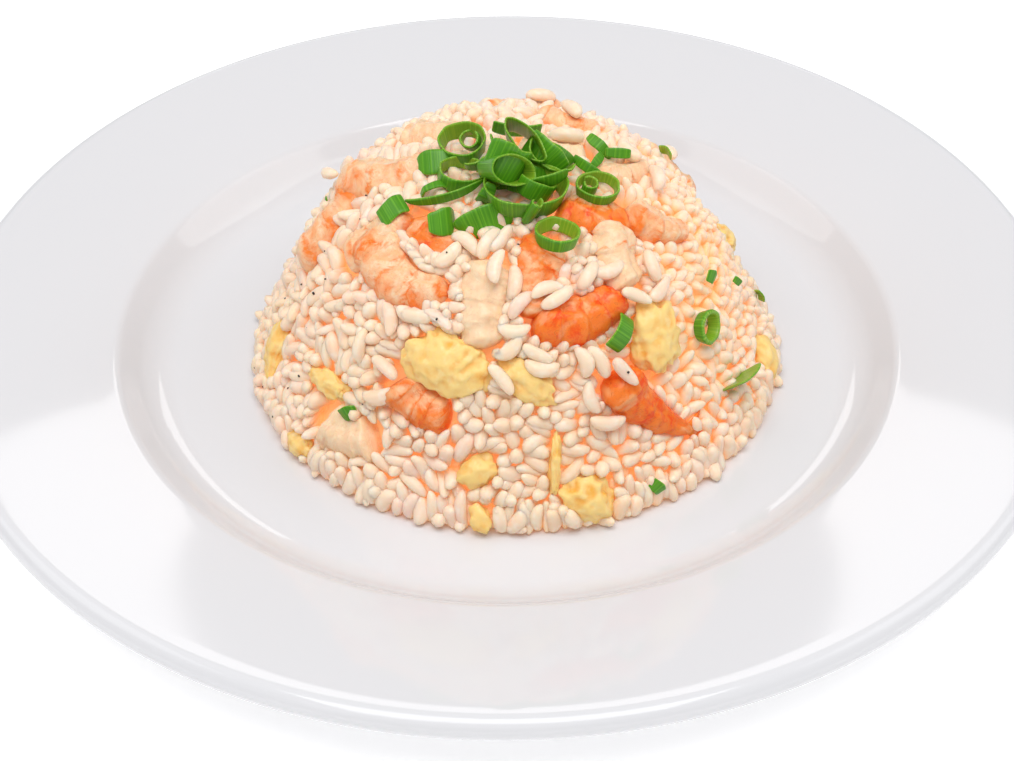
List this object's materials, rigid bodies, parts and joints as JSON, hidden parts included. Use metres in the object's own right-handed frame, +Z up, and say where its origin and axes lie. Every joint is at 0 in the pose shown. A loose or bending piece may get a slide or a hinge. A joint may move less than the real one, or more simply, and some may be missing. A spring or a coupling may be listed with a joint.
{
  "type": "plate of shrimp fried rice",
  "caption": "Dome of fried rice with shrimps and scrambled egg in its surface and a heap of spring onion rings on top, served on a round, wide-rimmed white plate.",
  "frame": {"origin": "centre of the plate's foot, on the surface that it stands on", "axes": "+Z up, through the middle of the plate; the side that was seen faces -Y"},
  "size_m": [0.28, 0.28, 0.0791],
  "materials": {
    "white_glaze": "gloss white glaze",
    "cooked_rice": "moist, slightly translucent cooked rice",
    "cooked_shrimp": "moist cooked shrimp, pale flesh with orange bands",
    "scrambled_egg": "soft matt egg curd",
    "spring_onion": "fresh green leaf with a light sheen"
  },
  "bodies": {
    "root": {"egg_back_left": "scrambled_egg", "egg_back_middle": "scrambled_egg", "egg_back_right": "scrambled_egg", "egg_centre_strip": "scrambled_egg", "egg_front_foot": "scrambled_egg", "egg_left_edge": "scrambled_egg", "egg_left_foot": "scrambled_egg", "egg_left_strip": "scrambled_egg", "egg_low": "scrambled_egg", "egg_low_left": "scrambled_egg", "egg_right": "scrambled_egg", "egg_right_edge": "scrambled_egg", "egg_thin_strip": "scrambled_egg", "egg_wide": "scrambled_egg", "plate": "white_glaze", "rice_mound": "cooked_rice", "scallion_band_centre": "spring_onion", "scallion_band_left": "spring_onion", "scallion_heap": "spring_onion", "scallion_leaf_right": "spring_onion", "scallion_ring_front": "spring_onion", "scallion_ring_right": "spring_onion", "shrimp_back_high": "cooked_shrimp", "shrimp_back_left": "cooked_shrimp", "shrimp_back_low": "cooked_shrimp", "shrimp_back_side_left": "cooked_shrimp", "shrimp_back_side_right": "cooked_shrimp", "shrimp_bright_middle": "cooked_shrimp", "shrimp_centre_pale": "cooked_shrimp", "shrimp_centre_striped": "cooked_shrimp", "shrimp_left_curl": "cooked_shrimp", "shrimp_left_inner": "cooked_shrimp", "shrimp_left_mid": "cooked_shrimp", "shrimp_pale_low": "cooked_shrimp", "shrimp_pale_right": "cooked_shrimp", "shrimp_red_tail": "cooked_shrimp", "shrimp_right_back": "cooked_shrimp", "shrimp_right_upper": "cooked_shrimp", "shrimp_small_left": "cooked_shrimp", "shrimp_top_back": "cooked_shrimp", "shrimp_top_left": "cooked_shrimp", "shrimp_top_white": "cooked_shrimp", "shrimp_under_heap_left": "cooked_shrimp", "shrimp_under_heap_right": "cooked_shrimp"}
  },
  "joints": []
}
